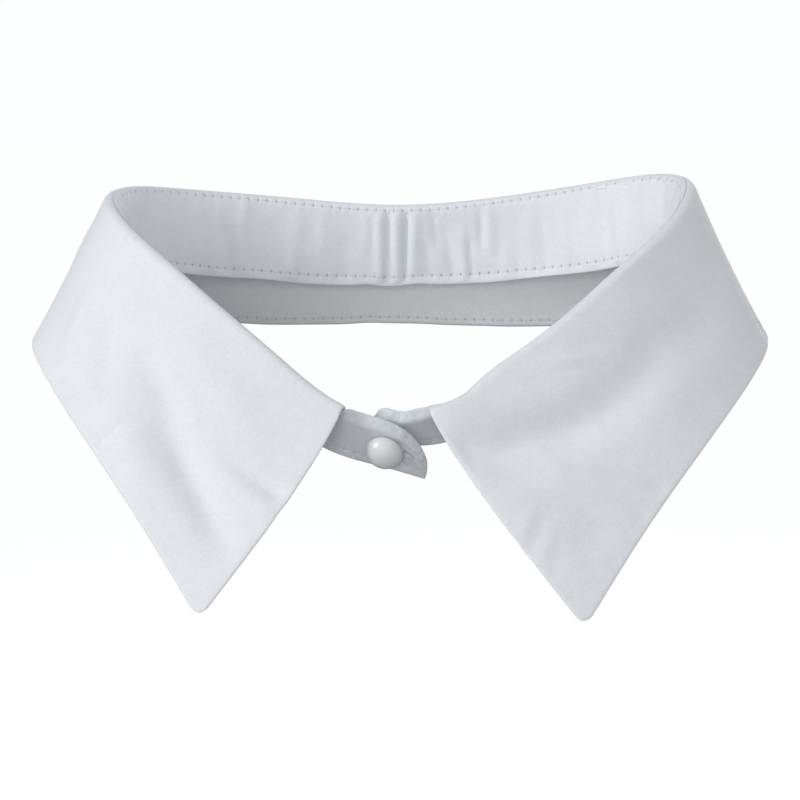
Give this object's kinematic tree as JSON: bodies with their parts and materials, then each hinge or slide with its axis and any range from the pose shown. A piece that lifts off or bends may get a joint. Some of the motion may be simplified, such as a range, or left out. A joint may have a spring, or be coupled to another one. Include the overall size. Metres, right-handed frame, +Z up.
{
  "type": "detachable shirt collar",
  "caption": "White cotton detachable shirt collar with pointed leaves, buttoned at the throat with one domed pearl button and standing open as it is worn.",
  "frame": {"origin": "middle of the neck opening, where the wearer's neck holds the collar", "axes": "+Z up along the neck, the wearer faces -Y, +X is the wearer's left"},
  "size_m": [0.189, 0.1409, 0.1028],
  "materials": {
    "upper_cotton": "fine plain-weave white cotton",
    "under_cotton": "fine plain-weave white cotton",
    "inner_cotton": "fine plain-weave white cotton",
    "outer_cotton": "fine plain-weave white cotton",
    "pearl": "white pearl",
    "thread": "white sewing thread"
  },
  "bodies": {
    "root": {"upper_collar": "upper_cotton", "under_collar": "under_cotton", "stand_inner": "inner_cotton", "stand_outer": "outer_cotton", "button": "pearl", "button_thread": "thread"}
  },
  "joints": []
}
